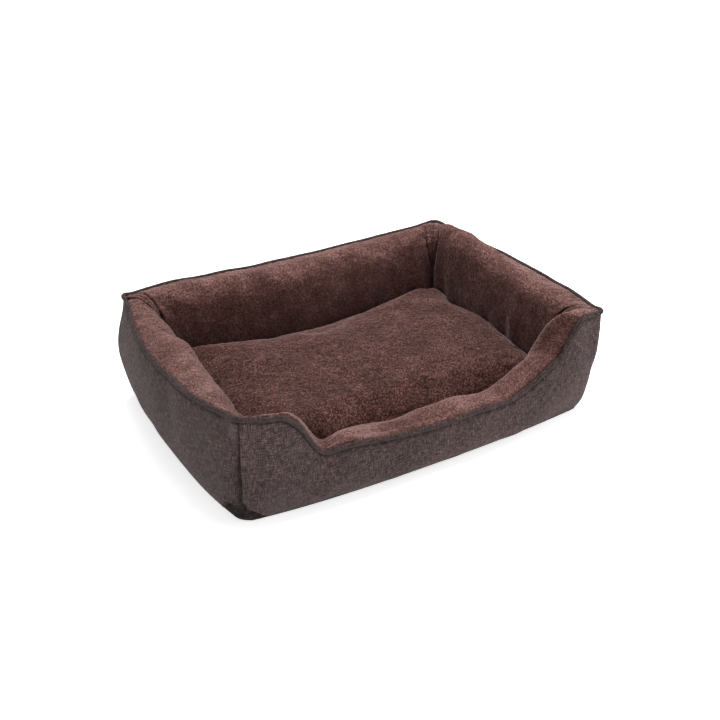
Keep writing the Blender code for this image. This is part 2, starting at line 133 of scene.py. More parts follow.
def pushes(*rows):
    return [Push(*row) for row in rows]


# ---- Walls: the frame's surfaces as arrays ---------------------------------------------------
def inset_ring(short_inset, long_inset, radius, long_bow, short_bow):
    width = RIM_WIDTH - 2 * short_inset
    return Ring(width, RIM_DEPTH - 2 * long_inset, radius, long_bow, short_bow)


RIM = inset_ring(0, 0, RIM_CORNER_RADIUS, LONG_RIM_BOW, SHORT_RIM_BOW)
OUTER_RINGS = (
    inset_ring(FOOT_SHORT_INSET, FOOT_LONG_INSET, 0.020, FOOT_BOW, FOOT_BOW),
    inset_ring(-BELLY_SWELL, -BELLY_SWELL, 0.020, LOW_BELLY_BOW, LOW_BELLY_BOW),
    inset_ring(-BELLY_SWELL, -BELLY_SWELL / 2, 0.016, LONG_RIM_BOW, SHORT_RIM_BOW),
    inset_ring(-OUTER_CLOTH / 2, -OUTER_CLOTH / 2, RIM_CORNER_RADIUS, LONG_RIM_BOW, SHORT_RIM_BOW),
)
LINING_RINGS = (
    inset_ring(SHORT_WALL, LONG_WALL, NEST_CORNER_RADIUS, 0, 0),
    inset_ring(SHORT_WALL + WALL_SWELL, LONG_WALL + WALL_SWELL, NEST_CORNER_RADIUS, 0, 0),
    inset_ring(SHORT_WALL + WALL_SWELL / 2, LONG_WALL - WALL_SWELL, NEST_CORNER_RADIUS, 0, 0),
    inset_ring(SEAM, SEAM, RIM_CORNER_RADIUS - SEAM, LONG_RIM_BOW, SHORT_RIM_BOW),
)


def smooth_step(low, high, value):
    part = np.clip((value - low) / (high - low), 0, 1)
    return part * part * (3 - 2 * part)


def bell(value, width):
    """1 where the value is 0, and down to a third of that at the width."""
    return np.exp(-((value / width) ** 2))


def arch(share):
    """0 at both ends of a side and 1 in its middle."""
    share = np.clip(share, 0, 1)
    full = np.sin(np.pi * share) + BOW_FULLNESS * np.sin(3 * np.pi * share)
    return full / (1 - BOW_FULLNESS)


def plan_points(ring, side, share):
    """Plan positions along one side of a ring, from one corner's diagonal to the next."""
    is_long = side in ("front", "back")
    length = ring.width if is_long else ring.depth
    reach = ring.depth / 2 if is_long else ring.width / 2
    bow = ring.long_bow if is_long else ring.short_bow
    straight = length - 2 * ring.radius
    travel = (share - 0.5) * (straight + ring.radius * math.pi / 2)
    angle = np.clip(np.abs(travel) - straight / 2, 0, None) / ring.radius
    past = np.sign(travel) * (straight / 2 + ring.radius * np.sin(angle))
    along = np.where(angle > 0, past, travel)
    out = reach - ring.radius * (1 - np.cos(angle)) + bow * arch(share)
    turned = {
        "front": (along, -out),
        "right": (out, along),
        "back": (-along, out),
        "left": (-out, -along),
    }[side]
    return np.stack(turned, -1)


def rim_heights(side, share):
    height = RIM_HEIGHT - RIM_SAGS[side] * arch(share)
    if side == "front":
        sunk = sum(part * smooth_step(low, high, share) for low, high, part in ENTRY_STEPS)
        height = height - (RIM_HEIGHT - ENTRY_HEIGHT) * sunk
    return height


def bezier(rings, heights, side, share, rise):
    """Grid of points, a row for each rise and a column for each share."""
    rest = 1 - rise
    weights = (rest**3, 3 * rest**2 * rise, 3 * rest * rise**2, rise**3)
    total = 0
    for ring, height, weight in zip(rings, heights, weights):
        point = np.column_stack([plan_points(ring, side, share), height + 0 * share])
        total = total + weight[:, None, None] * point[None]
    return total


def outer_side(side, share, rise):
    step = 0.004
    run = np.linalg.norm(
        plan_points(RIM, side, share + step) - plan_points(RIM, side, share - step), axis=-1
    )
    slope = (rim_heights(side, share + step) - rim_heights(side, share - step)) / run
    top = rim_heights(side, share) - SEAM * np.hypot(1, slope)
    heights = (FOOT, FOOT + (top - FOOT) * LOW_BELLY_RISE, FOOT + (top - FOOT) * 2 / 3, top)
    return bezier(OUTER_RINGS, heights, side, share, rise)


def lining_side(side, share, rise):
    rim = rim_heights(side, share)
    crown = CROWN_AT_CORNER + (CROWN_AT_MIDDLE - CROWN_AT_CORNER) * arch(share)
    low = FLOOR_FOOT + (rim - FLOOR_FOOT) * 0.67
    heights = (FLOOR_FOOT, low, rim + crown, rim + PLUSH_CLOTH / 2)
    return bezier(LINING_RINGS, heights, side, share, rise)


# ---- Arrays of points ------------------------------------------------------------------------
def lattice_noise(x, y, cell_x, cell_y, seed):
    """Smooth random values from -1 to 1, with a new value about every cell."""
    values = np.random.default_rng(seed).uniform(-1, 1, (64, 64))
    across, up = x / cell_x, y / cell_y
    left, low = np.floor(across), np.floor(up)
    part_x, part_y = smooth_step(0, 1, across - left), smooth_step(0, 1, up - low)
    left, low = left.astype(int), low.astype(int)

    def value(i, j):
        return values[(left + i) % 64, (low + j) % 64]

    lower = value(0, 0) * (1 - part_x) + value(1, 0) * part_x
    upper = value(0, 1) * (1 - part_x) + value(1, 1) * part_x
    return lower * (1 - part_y) + upper * part_y


def resample(values, places, axis, cyclic):
    """Catmull-Rom interpolation of an array at fractional indices along an axis."""
    values = np.moveaxis(values, axis, 0)
    count = len(values)
    start = np.floor(places).astype(int)
    part = (places - start).reshape(-1, *[1] * (values.ndim - 1))
    weights = (
        -0.5 * part + part**2 - 0.5 * part**3,
        1 - 2.5 * part**2 + 1.5 * part**3,
        0.5 * part + 2 * part**2 - 1.5 * part**3,
        -0.5 * part**2 + 0.5 * part**3,
    )
    total = 0
    for offset, weight in zip((-1, 0, 1, 2), weights):
        index = start + offset
        index = index % count if cyclic else np.clip(index, 0, count - 1)
        total = total + weight * values[index]
    return np.moveaxis(total, 0, axis)


def grid_normals(points):
    across = np.gradient(points, axis=1)
    up = np.gradient(points, axis=0)
    normal = np.cross(across, up)
    return normal / np.maximum(np.linalg.norm(normal, axis=-1, keepdims=True), 1e-12)


def running_length(points, axis):
    """Distance travelled along an axis of a grid of points, from its start."""
    steps = np.linalg.norm(np.diff(points, axis=axis), axis=-1)
    zero = np.zeros_like(np.take(steps, [0], axis=axis))
    return np.cumsum(np.concatenate([zero, steps], axis=axis), axis=axis)


def quads_of(rows, columns, flip=False, wrap=False, close=False):
    """Faces of a grid of points, whose columns join up with wrap and rows with close."""
    index = np.arange(rows * columns).reshape(rows, columns)
    if wrap:
        index = np.concatenate([index, index[:, :1]], axis=1)
    if close:
        index = np.concatenate([index, index[:1]])
    corners = [index[:-1, :-1], index[:-1, 1:], index[1:, 1:], index[1:, :-1]]
    if flip:
        corners.reverse()
    return np.stack(corners, -1).reshape(-1, 4)


def mesh_piece(name, points, faces, look, cloth=None):
    """A smooth-shaded object. Its cloth attribute holds each vertex's place on the flat cloth, in
    metres, and third how much painted shade it gets in seams, folds and the corner tuck, from 0 to 1."""
    mesh = bpy.data.meshes.new(name)
    mesh.from_pydata(points.reshape(-1, 3).tolist(), [], [list(face) for face in faces])
    if cloth is not None:
        place = mesh.attributes.new("cloth", "FLOAT_VECTOR", "POINT")
        flat = np.zeros((len(mesh.vertices), 3), np.float32)
        flat[:, : cloth.shape[-1]] = cloth.reshape(len(flat), -1)
        place.data.foreach_set("vector", flat.ravel())
    mesh.shade_smooth()
    mesh.materials.append(look)
    piece = bpy.data.objects.new(name, mesh)
    bpy.context.scene.collection.objects.link(piece)
    return piece


def simulate(points, faces, pinned, pressure, slack, frames):
    """Blow up a cloth held where it is pinned, and give the simulated points."""
    mesh = bpy.data.meshes.new("cloth_trial")
    mesh.from_pydata(points.reshape(-1, 3).tolist(), [], faces.tolist())
    trial = bpy.data.objects.new("cloth_trial", mesh)
    bpy.context.scene.collection.objects.link(trial)
    group = trial.vertex_groups.new(name="pinned")
    held = pinned.ravel()
    for strength in np.unique(held):
        if strength > 0:
            group.add(np.flatnonzero(held == strength).tolist(), float(strength), "REPLACE")
    cloth = trial.modifiers.new("Cloth", "CLOTH")
    settings = cloth.settings
    settings.quality = 6
    settings.mass = 0.25
    settings.tension_stiffness = settings.compression_stiffness = 14
    settings.shear_stiffness = 4
    settings.bending_stiffness = 0.35
    settings.air_damping = 2
    settings.use_pressure = True
    settings.uniform_pressure_force = pressure
    settings.shrink_min = -slack
    settings.effector_weights.gravity = 0
    settings.vertex_group_mass = "pinned"
    cloth.point_cache.frame_end = frames
    for number in range(1, frames + 1):
        bpy.context.scene.frame_set(number)
    evaluated = trial.evaluated_get(bpy.context.evaluated_depsgraph_get())
    moved = np.empty(len(mesh.vertices) * 3, np.float32)
    evaluated.data.vertices.foreach_get("co", moved)
    bpy.context.scene.frame_set(1)
    bpy.data.objects.remove(trial, do_unlink=True)
    return moved.reshape(points.shape).astype(float)


def smoothed(shift, passes):
    """A grid of shifts averaged with its neighbours, whose columns join up."""
    for _ in range(passes):
        shift = (np.roll(shift, 1, 1) + 2 * shift + np.roll(shift, -1, 1)) / 4
        shift[1:-1] = (shift[:-2] + 2 * shift[1:-1] + shift[2:]) / 4
    return shift


def limited(shift, cap):
    """Shifts with their lengths eased below a cap."""
    length = np.maximum(np.linalg.norm(shift, axis=-1, keepdims=True), 1e-9)
    cap = np.broadcast_to(cap, shift.shape[:-1])[..., None]
    return shift * cap * np.tanh(length / cap) / length


# ---- Shaping of the walls --------------------------------------------------------------------
RIM_PUSHES = pushes(
    ("back", 1.0, 0.050, 1, 1, -0.003, -0.006),
    ("back", 1.0, 0.009, 1, 1, 0.004, 0.001),
    ("left", 0.16, 0.070, 1, 1, -0.006, 0),
    ("left", 0.62, 0.025, 1, 1, -0.003, -0.001),
    ("back", 0.5, 0.150, 1, 1, 0, -0.003),
    ("right", 1.0, 0.030, 1, 1, 0.003, 0.002),
    ("front", 1.0, 0.012, 1, 1, 0.006, 0.002),
    ("front", 0, 0.010, 1, 1, 0.002, 0),
    ("front", 0.055, 0.028, 1, 1, 0, -0.005),
    ("front", 0.138, 0.022, 1, 1, 0, 0.008),
    ("front", 0.186, 0.020, 1, 1, 0, -0.004),
)
OUTER_PUSHES = pushes(
    ("back", 1.0, 0.060, 0.52, 0.24, 0.008, 0),
    ("front", 1.0, 0.050, 0.42, 0.24, -0.005, 0),
    ("front", 0.035, 0.016, 0.62, 0.22, -0.006, 0),
    ("left", 0.955, 0.018, 0.72, 0.20, -0.004, 0),
    ("right", 0.045, 0.014, 0.70, 0.22, -0.005, 0),
    ("front", 0.965, 0.016, 0.75, 0.16, -0.004, 0),
)
LINING_PUSHES = pushes(
    ("right", 0.78, 0.110, 0.84, 0.17, 0.008, 0.014),
    ("right", 0.99, 0.022, 0.86, 0.12, 0.003, -0.002),
    ("right", 0.925, 0.026, 0.90, 0.12, 0.003, 0.005),
    ("back", 0.10, 0.045, 0.86, 0.14, 0.003, 0.003),
    ("right", 0.36, 0.016, 0.20, 0.16, 0.0025, 0),
    ("right", 0.30, 0.020, 0.24, 0.18, -0.0025, 0),
    ("right", 0.52, 0.016, 0.18, 0.14, 0.0025, 0),
    ("left", 0.40, 0.120, 0.66, 0.20, -0.015, 0.003),
    ("front", 0.33, 0.060, 0.78, 0.25, 0, -0.009),
    ("front", 0.17, 0.036, 0.80, 0.26, 0.002, -0.010),
    ("front", 0.58, 0.140, 0.80, 0.25, 0.002, -0.007),
    ("back", 0.10, 0.009, 0.16, 0.14, 0.005, 0),
    ("back", 0.05, 0.012, 0.18, 0.14, -0.003, 0),
    ("left", 0.30, 0.026, 0.72, 0.16, 0.004, -0.002),
    ("front", 0.075, 0.070, 0.78, 0.26, 0.005, -0.014),
    ("left", 0.99, 0.040, 0.78, 0.26, 0.004, -0.009),
    ("front", 0.40, 0.030, 0.62, 0.20, 0.003, 0),
    ("front", 0.62, 0.030, 0.60, 0.20, -0.004, 0),
    ("back", 0.36, 0.028, 0.70, 0.22, 0.003, -0.001),
    ("back", 0.66, 0.030, 0.60, 0.26, 0.003, 0),
)


class Walls:
    """The four walls as one loop: columns run round the rim, rows run up each cloth."""

    def __init__(self):
        shares, self.starts = [], [0]
        for side in SIDES:
            length = RIM_WIDTH if side in ("front", "back") else RIM_DEPTH
            count = round(length / COARSE_CELL)
            even = np.arange(count) / count
            shares.append(even - STATION_EASE * np.sin(2 * np.pi * even) / (2 * np.pi))
            self.starts.append(self.starts[-1] + count)
        outer_rise = np.linspace(0, 1, OUTER_ROWS + 1)
        lining_rise = np.linspace(0, 1, LINING_ROWS + 1)
        pairs = list(zip(SIDES, shares))
        rim = [np.column_stack([plan_points(RIM, s, e), rim_heights(s, e)]) for s, e in pairs]
        self.rim = np.concatenate(rim)
        self.outer = np.concatenate([outer_side(s, e, outer_rise) for s, e in pairs], axis=1)
        self.lining = np.concatenate([lining_side(s, e, lining_rise) for s, e in pairs], axis=1)
        self.shares = shares
        closed = np.concatenate([self.rim, self.rim[:1]])[None, :, :2]
        self.travel = running_length(closed, 1)[0]
        self.round = self.travel[-1]
        self.travel = self.travel[:-1]
        tangent = np.roll(self.rim, -1, 0) - np.roll(self.rim, 1, 0)
        outward = np.column_stack([tangent[:, 1], -tangent[:, 0], 0 * tangent[:, 0]])
        self.outward = outward / np.linalg.norm(outward, axis=1, keepdims=True)

    def place(self, side, share):
        """Distance round the rim of a share of a side."""
        number = SIDES.index(side)
        shares = np.append(self.shares[number], 1)
        start, end = self.starts[number], self.starts[number + 1]
        travel = np.append(self.travel, self.round)[start : end + 1]
        return float(np.interp(share, shares, travel))

    def apart(self, travel, middle):
        gap = np.abs(travel - middle) % self.round
        return np.minimum(gap, self.round - gap)

    def pushed(self, points, pushes, hold=0.0):
        """The points moved by the pushes, which fade out over the last of the rise before the rim."""
        rises = np.linspace(0, 1, len(points))
        free = smooth_step(1.0, 1.0 - hold, rises) if hold else 1.0
        for push in pushes:
            gap = self.apart(self.travel, self.place(push.side, push.share))
            near = bell(gap, push.spread)
            high = bell(rises - push.rise, push.rise_spread) * free
            move = self.outward * push.out + np.array([0, 0, push.up])
            points = points + high[:, None, None] * near[None, :, None] * move[None]
        return points

    def shape(self):
        """The shaping, then the cloth simulation of both cloths at once."""
        shift = self.pushed(self.rim[None], [p._replace(rise=0) for p in RIM_PUSHES])[0] - self.rim
        waves = lattice_noise(self.travel, 0 * self.travel, 0.050, 1.0, 3)
        waves *= smooth_step(0.01, 0.14, corner_gap(self, self.travel))
        shift = shift + waves[:, None] * (0.0008 * self.outward + np.array([0, 0, 0.0012]))
        self.rim = self.rim + shift
        outer_share = np.linspace(0, 1, OUTER_ROWS + 1)[:, None, None] ** 1.6
        lining_share = np.linspace(0, 1, LINING_ROWS + 1)[:, None, None] ** 2.2
        self.outer = self.pushed(self.outer + outer_share * shift, OUTER_PUSHES, hold=0.10)
        self.lining = self.pushed(self.lining + lining_share * shift, LINING_PUSHES, hold=0.12)
        self.inflate()

    def inflate(self):
        columns = self.outer.shape[1]
        corners = self.starts[:4]
        outer_pins = np.zeros(self.outer.shape[:2])
        lining_pins = np.zeros(self.lining.shape[:2])
        for pins, at_corner in ((outer_pins, 1), (lining_pins, CORNER_HOLD)):
            pins[[0, 1, -1]] = 1
            pins[:, corners] = at_corner
        points = np.concatenate([self.outer, self.lining])
        outer_faces = quads_of(len(self.outer), columns, wrap=True)
        lining_faces = quads_of(len(self.lining), columns, flip=True, wrap=True)
        faces = np.concatenate([outer_faces, lining_faces + self.outer.shape[0] * columns])
        pins = np.concatenate([outer_pins, lining_pins])
        moved = simulate(points, faces, pins, pressure=4, slack=0.035, frames=22)
        shift = moved - points
        low_cap, high_cap = LINING_CAPS
        lining_cap = low_cap + (high_cap - low_cap) * smooth_step(0.05, 0.11, self.lining[..., 2])
        outer_shift = smoothed(limited(shift[: len(self.outer)], OUTER_CAP), 4)
        lining_shift = smoothed(limited(shift[len(self.outer) :], lining_cap), 4)
        self.outer = self.outer + outer_shift
        self.lining = self.lining + lining_shift


def corner_folds(height, gap):
    """The lining's inner corners: a crevice that deepens to the floor, under a V of puckers. Gives
    the cloth's shift, and how much painted shade it gets in the crevice and puckers.
    """
    low = smooth_step(0.175, 0.09, height)
    crevice = (0.0025 + 0.0070 * low) * np.exp(-gap / 0.009)
    fan = np.abs(gap - 0.22 * np.clip(height - 0.120, 0, 0.06) - 0.001)
    upper = smooth_step(0.115, 0.130, height) * smooth_step(0.205, 0.180, height)
    pucker = upper * bell(fan, 0.0032)
    # Painted shade, darkest deep in the crevice and along the puckers.
    depth = np.maximum((0.45 + 0.5 * low) * np.exp(-gap / (0.004 + 0.006 * low)), 0.8 * pucker)
    return -crevice - 0.0036 * pucker, depth


def front_corner_tuck(walls, travel, height):
    """The front left corner: the front laps over the left wall, with a folded tuck at its foot. Gives
    the cloth's shift, and how much painted shade it gets in the tuck, along its fold and beside the
    lap.
    """
    gap = (travel + walls.round / 2) % walls.round - walls.round / 2
    gap = gap[None] + 0 * height
    under = -0.0100 * np.exp(np.minimum(gap, 0) / 0.018)
    over = 0.0028 * bell(gap - 0.009, 0.009)
    over = over - 0.0115 * np.exp(-np.maximum(gap, 0) / 0.0014)
    below_rim = smooth_step(0.19, 0.12, height)
    lap = np.where(gap < 0, under, over) * below_rim * smooth_step(0, 0.03, height)
    left_edge = 0.040 * smooth_step(-0.054, -0.034, gap) + 0.0015 * np.sin(gap / 0.006)
    front_edge = 0.058 * np.clip(1 - gap / 0.042, 0, 1)
    edge = np.where(gap < 0, left_edge, front_edge)
    inside = smooth_step(0.0, 0.005, edge - height) * smooth_step(-0.060, -0.044, gap)
    pocket = -0.0120 * inside * smooth_step(-0.004, 0.014, height)
    lip = 0.0026 * bell(edge - height + 0.004, 0.004) * smooth_step(0.0, 0.012, edge)
    fold = bell(edge - height - 0.002, 0.006) * smooth_step(0.0, 0.02, edge)
    # Painted shade on the left wall beside the lap, in the tuck's pocket and along its fold.
    shade = np.where(gap < 0, 0.34 * np.exp(np.minimum(gap, 0) / 0.016), 0) * below_rim
    return lap + pocket + lip, np.maximum.reduce([0.66 * inside, 0.95 * fold * inside, shade])


def corner_gap(walls, travel):
    corners = [walls.travel[start] for start in walls.starts[:4]]
    return np.min([walls.apart(travel, corner) for corner in corners], axis=0)


def wall_panel(walls, side, points, cell, inward):
    """Fine grid of one side of a cloth, with its seam puckers, its place on the cloth and how much
    painted shade it gets.
    """
    number = SIDES.index(side)
    start, end = walls.starts[number], walls.starts[number + 1]
    middle = points[len(points) // 2, start:end]
    length = np.linalg.norm(np.diff(middle, axis=0), axis=-1).sum()
    height = running_length(points[:, start:end], 0)[-1].max()
    count = max(2, round(length / cell))
    step = (end - start) / count
    columns = start + step * np.arange(-1, count + 2)
    rows = np.linspace(0, len(points) - 1, max(2, round(height / cell)) + 1)
    wide = np.concatenate([[columns[0] - step], columns, [columns[-1] + step]])
    wide = resample(resample(points, wide, 1, True), rows, 0, False)
    fine, normals = wide[:, 1:-1], grid_normals(wide)[:, 1:-1]
    cloth_y = running_length(fine, 0)
    row_lengths = running_length(fine, 1)
    cloth_x = np.broadcast_to(row_lengths[len(rows) // 2], cloth_y.shape)
    stations = np.append(walls.travel, walls.round)
    travel = np.interp(columns, np.arange(len(stations)), stations)
    rim_gap = cloth_y[-1:] - cloth_y
    seam_gap = corner_gap(walls, travel)[None] + 0 * cloth_y
    facing = -1 if inward else 1
    pucker = lattice_noise(travel[None] + 0 * cloth_y, rim_gap, 0.0075, 0.030, 11 + number)
    lift = 0.0007 * pucker * np.exp(-rim_gap / 0.011)
    lift -= (0.0022 if inward else 0.0036) * bell(rim_gap, 0.0045)
    side_pucker = lattice_noise(cloth_y, seam_gap, 0.0085, 0.030, 31 + number)
    lift += (0.0007 if inward else 0.0003) * side_pucker * np.exp(-seam_gap / 0.010)
    # Painted shade: darkening under the piping, in the lining's corner crevices and puckers, along
    # the cover's corner seam and in its tuck.
    depth = np.exp(-rim_gap / 0.0035)
    if inward:
        fold_lift, fold_shade = corner_folds(fine[..., 2], seam_gap)
        lift += fold_lift
        depth = np.maximum(depth * 0.7, fold_shade)
    else:
        lift -= 0.0010 * bell(seam_gap, 0.004)
        tuck_lift, tuck_shade = front_corner_tuck(walls, travel, cloth_y)
        lift += tuck_lift
        depth = np.maximum(depth, 0.75 * bell(seam_gap, 0.0022))
        depth = np.maximum(depth, tuck_shade)
    broad = lattice_noise(travel[None] + 0 * cloth_y, cloth_y, 0.055, 0.045, 51 + number)
    broad *= smooth_step(0, 0.03, rim_gap) * smooth_step(0, 0.03, cloth_y)
    lift += 0.0012 * broad * smooth_step(0, 0.03, seam_gap)
    lift[:, [0, -1]] -= SEAM_ALLOWANCE
    # Painted shade: the turned-in edge columns are darkened fully.
    depth[:, [0, -1]] = 1
    fine = fine + normals * (facing * lift)[..., None]
    return fine, np.stack([cloth_x, cloth_y, depth], -1)


def add_pile(piece):
    """Clumps of plush, as two sizes of displacement."""
    for name, size, depth in (("Pile clumps", 0.011, 0.0022), ("Pile tufts", 0.0042, 0.0011)):
        clouds = bpy.data.textures.new(f"{piece.name} {name}", "CLOUDS")
        clouds.noise_scale = size
        clouds.noise_depth = 1
        clouds.noise_basis = "IMPROVED_PERLIN"
        displace = piece.modifiers.new(name, "DISPLACE")
        displace.texture = clouds
        displace.strength = depth
        displace.mid_level = 0.5
        displace.texture_coords = "LOCAL"


def add_walls(walls, looks):
    cloths = (
        ("cover", "outer", walls.outer_shown, OUTER_CELL, "woven_cloth"),
        ("lining", "lining", walls.lining_shown, LINING_CELL, "plush"),
    )
    for side in SIDES:
        for name, node, points, cell, slot in cloths:
            inward = name == "lining"
            shown, cloth = wall_panel(walls, side, points, cell, inward)
            faces = quads_of(*shown.shape[:2], flip=inward)
            panel = mesh_piece(f"{name}_{side}", shown, faces, looks[slot], cloth)
            if inward:
                add_pile(panel)
            finish_piece(panel, "bed", slot, f"{node}_{side}_panel")


def add_padding(walls, looks):
    """The filling of each wall: a closed lumpy block between the two cloths."""
    gap = (walls.travel + walls.round / 2) % walls.round - walls.round / 2
    corner = bell(gap, 0.060)[None] * smooth_step(0.19, 0.08, walls.outer[..., 2])
    tuck_inset = PADDING_INSET + 0.020 * corner
    crevice_inset = PADDING_INSET + 0.017 * np.exp(-corner_gap(walls, walls.travel) / 0.016)
    outer = walls.outer - grid_normals(walls.outer) * tuck_inset[..., None]
    lining = walls.lining + grid_normals(walls.lining) * crevice_inset[None, :, None]
    for cloth in (outer, lining):
        cloth[..., 2] = np.maximum(cloth[..., 2], FLOOR_FOOT + 0.001)
    loop = np.concatenate([outer[: OUTER_ROWS - 2], lining[LINING_ROWS - 3 :: -1]])
    for number, side in enumerate(SIDES):
        start, end = walls.starts[number], walls.starts[number + 1]
        block = resample(loop, np.arange(start + 1, end, 1.0), 1, True)
        rows, columns = block.shape[:2]
        lump = lattice_noise(running_length(block, 1), running_length(block, 0), 0.02, 0.02, 71)
        block = block - grid_normals(block) * (0.0008 * (1 + lump))[..., None]
        index = np.arange(rows * columns).reshape(rows, columns)
        faces = quads_of(rows, columns, close=True).tolist()
        faces += [index[::-1, 0].tolist(), index[:, -1].tolist()]
        padding = mesh_piece(f"padding_{side}", block, faces, looks["fibre_fill"])
        finish_piece(padding, "bed", "fibre_fill", f"bolster_fill_{side}")


def sweep(name, path, section_radius, around, look, wobble=0.0):
    """A closed tube along a looped path, with an upright reference for its section."""
    tangent = np.roll(path, -1, 0) - np.roll(path, 1, 0)
    tangent /= np.linalg.norm(tangent, axis=1, keepdims=True)
    side = np.cross(tangent, [0, 0, 1.0])
    side /= np.linalg.norm(side, axis=1, keepdims=True)
    up = np.cross(side, tangent)
    angle = np.arange(around) / around * 2 * np.pi
    travel = running_length(path[None], 1)[0]
    along = travel[:, None] + 0 * angle[None]
    bulge = lattice_noise(along, angle[None] + 0 * along, 0.006, 1.6, 91)
    radius = section_radius + wobble * bulge
    ring = side[:, None] * np.cos(angle)[None, :, None] + up[:, None] * np.sin(angle)[None, :, None]
    points = path[:, None] + ring * radius[..., None]
    faces = quads_of(len(path), around, flip=True, wrap=True, close=True)
    cloth = np.stack([along, angle[None] * section_radius + 0 * along], -1)
    return mesh_piece(name, points, faces, look, cloth)


def add_piping(walls, looks):
    places = np.arange(0, len(walls.rim), 0.16)
    path = resample(walls.rim, places, 0, True)
    cover = sweep("piping_cover", path, PIPING_SHOWN, 16, looks["piping_cloth"], 0.00022)
    finish_piece(cover, "bed", "woven_cloth", "rim_piping_cover")
    cord_radius = PIPING_RADIUS - PIPING_COVER - CLEARANCE
    cord = sweep("piping_cord", path, cord_radius, 8, looks["piping_cord"])
    finish_piece(cord, "bed", "piping_cord", "rim_piping_cord")


# ---- Base and floor --------------------------------------------------------------------------
def ring_loop(ring, count):
    share = np.arange(count) / count
    return np.concatenate([plan_points(ring, side, share) for side in SIDES])


def add_plate(name, ring, foot, top, look, loops=10):
    """A flat closed plate with the outline of a ring, as nested loops round its middle."""
    outline = ring_loop(ring, 60)
    from_corner = np.linalg.norm(outline + [ring.width / 2, ring.depth / 2], axis=1)
    outline *= 1 - 0.009 * bell(from_corner, 0.060)[:, None]
    scales = np.linspace(1, 0.02, loops)[:, None, None]
    upper = np.concatenate([outline[None] * scales, np.full((loops, len(outline), 1), top)], -1)
    lower = upper.copy()
    lower[..., 2] = foot
    points = np.concatenate([lower[::-1], upper])
    count = len(outline)
    faces = quads_of(2 * loops, count, wrap=True).tolist()
    faces += [list(range(count))[::-1]]
    faces += [list(range((2 * loops - 1) * count, 2 * loops * count))]
    return mesh_piece(name, points, faces, look)


def add_base(looks):
    foot_ring = OUTER_RINGS[0]
    dot_height = 0.0006
    plate = add_plate("base_cloth", foot_ring, dot_height, BASE_CLOTH, looks["base_cloth"])
    dots = bmesh.new()
    dots.from_mesh(plate.data)
    pitch, radius = 0.013, 0.0022
    width, depth = foot_ring.width / 2 - 0.018, foot_ring.depth / 2 - 0.018
    across, up = int(width / pitch), int(depth / pitch)
    for row in range(-2 * up, 2 * up + 1):
        for column in range(-across, across + 1):
            if (row + column) % 2:
                continue
            add_dot(dots, column * pitch, row * pitch / 2, radius, dot_height)
    dots.to_mesh(plate.data)
    dots.free()
    plate.data.shade_smooth()
    plate.data.set_sharp_from_angle(angle=math.radians(50))
    finish_piece(plate, "bed", "base_cloth", "base_panel")


def add_dot(shape, x, y, radius, height):
    """A low rubber dot under the base, from the cloth down to the floor."""
    rings = []
    for part, drop in ((1, 0), (0.85, 0.75), (0.45, 1)):
        ring = []
        for step in range(10):
            angle = step * math.pi / 5
            along, up = radius * part * math.cos(angle), radius * part * math.sin(angle)
            ring.append(shape.verts.new((x + along, y + up, height * (1 - drop))))
        rings.append(ring)
    for upper, lower in zip(rings, rings[1:]):
        for i in range(10):
            j = (i + 1) % 10
            shape.faces.new((upper[i], lower[i], lower[j], upper[j]))
    shape.faces.new(rings[-1][::-1])


def add_floor_lining(looks):
    """The nest's own plush floor, with soft waves where it is laid on the wadding."""
    inset = CLEARANCE * 2
    ring = inset_ring(SHORT_WALL + inset, LONG_WALL + inset, NEST_CORNER_RADIUS - inset, 0, 0)
    outline = ring_loop(ring, 90)
    scales = np.linspace(1, 0.004, 100)[:, None, None]
    plan = outline[None] * scales
    waves = lattice_noise(*np.moveaxis(plan, -1, 0), 0.05, 0.05, 5)
    height = FLOOR_FOOT + FLOOR_CLOTH * 0.6 + 0.0004 * waves
    points = np.concatenate([plan, height[..., None]], -1)
    faces = quads_of(len(scales), len(outline), wrap=True).tolist()
    first = (len(scales) - 1) * len(outline)
    faces.append(list(range(first, first + len(outline))))
    sheet = mesh_piece("floor_plush", points, faces, looks["plush"], plan)
    finish_piece(sheet, "bed", "plush", "floor_lining")


# ---- The cushion -----------------------------------------------------------------------------
def cushion_section(underside):
    """Even steps along the cushion's section: how far out each is, and how high off the seam."""
    near = np.sin(np.linspace(0, 1, 4000) * math.pi / 2)
    curve = np.sqrt(np.clip(1 - near**CUSHION_SQUARENESS, 0, 1))
    if underside:
        height = -CUSHION_SEAM_HEIGHT * np.minimum(1, CUSHION_FLATNESS * curve)
    else:
        height = CUSHION_RISE * curve + CUSHION_CROWN * (1 - near**2)
    line = np.column_stack([near * (CUSHION_WIDTH + CUSHION_DEPTH) / 4, height])
    travel = running_length(line[None], 1)[0]
    return near, height, travel / travel[-1]


def cushion_grid(columns, rows, underside):
    across, up = np.meshgrid(np.linspace(-1, 1, columns + 1), np.linspace(-1, 1, rows + 1))
    reach = np.maximum(np.abs(across), np.abs(up))
    safe = np.maximum(reach, 1e-9)
    near_steps, height_steps, reach_steps = cushion_section(underside)
    near = np.interp(reach, reach_steps, near_steps)
    height = np.interp(reach, reach_steps, height_steps)
    ring = Ring(CUSHION_WIDTH, CUSHION_DEPTH, CUSHION_CORNER_RADIUS, 0, 0)
    plan = np.zeros((*reach.shape, 2))
    on_long = np.abs(up) >= np.abs(across)
    places = (
        ("front", on_long & (up < 0), across),
        ("back", on_long & (up >= 0), -across),
        ("right", ~on_long & (across > 0), up),
        ("left", ~on_long & (across <= 0), -up),
    )
    for side, here, sideways in places:
        share = (sideways / safe + 1) / 2
        plan[here] = plan_points(ring, side, share)[here]
    plan *= near[..., None]
    return np.concatenate([plan, (CUSHION_SEAM + height)[..., None]], -1), near


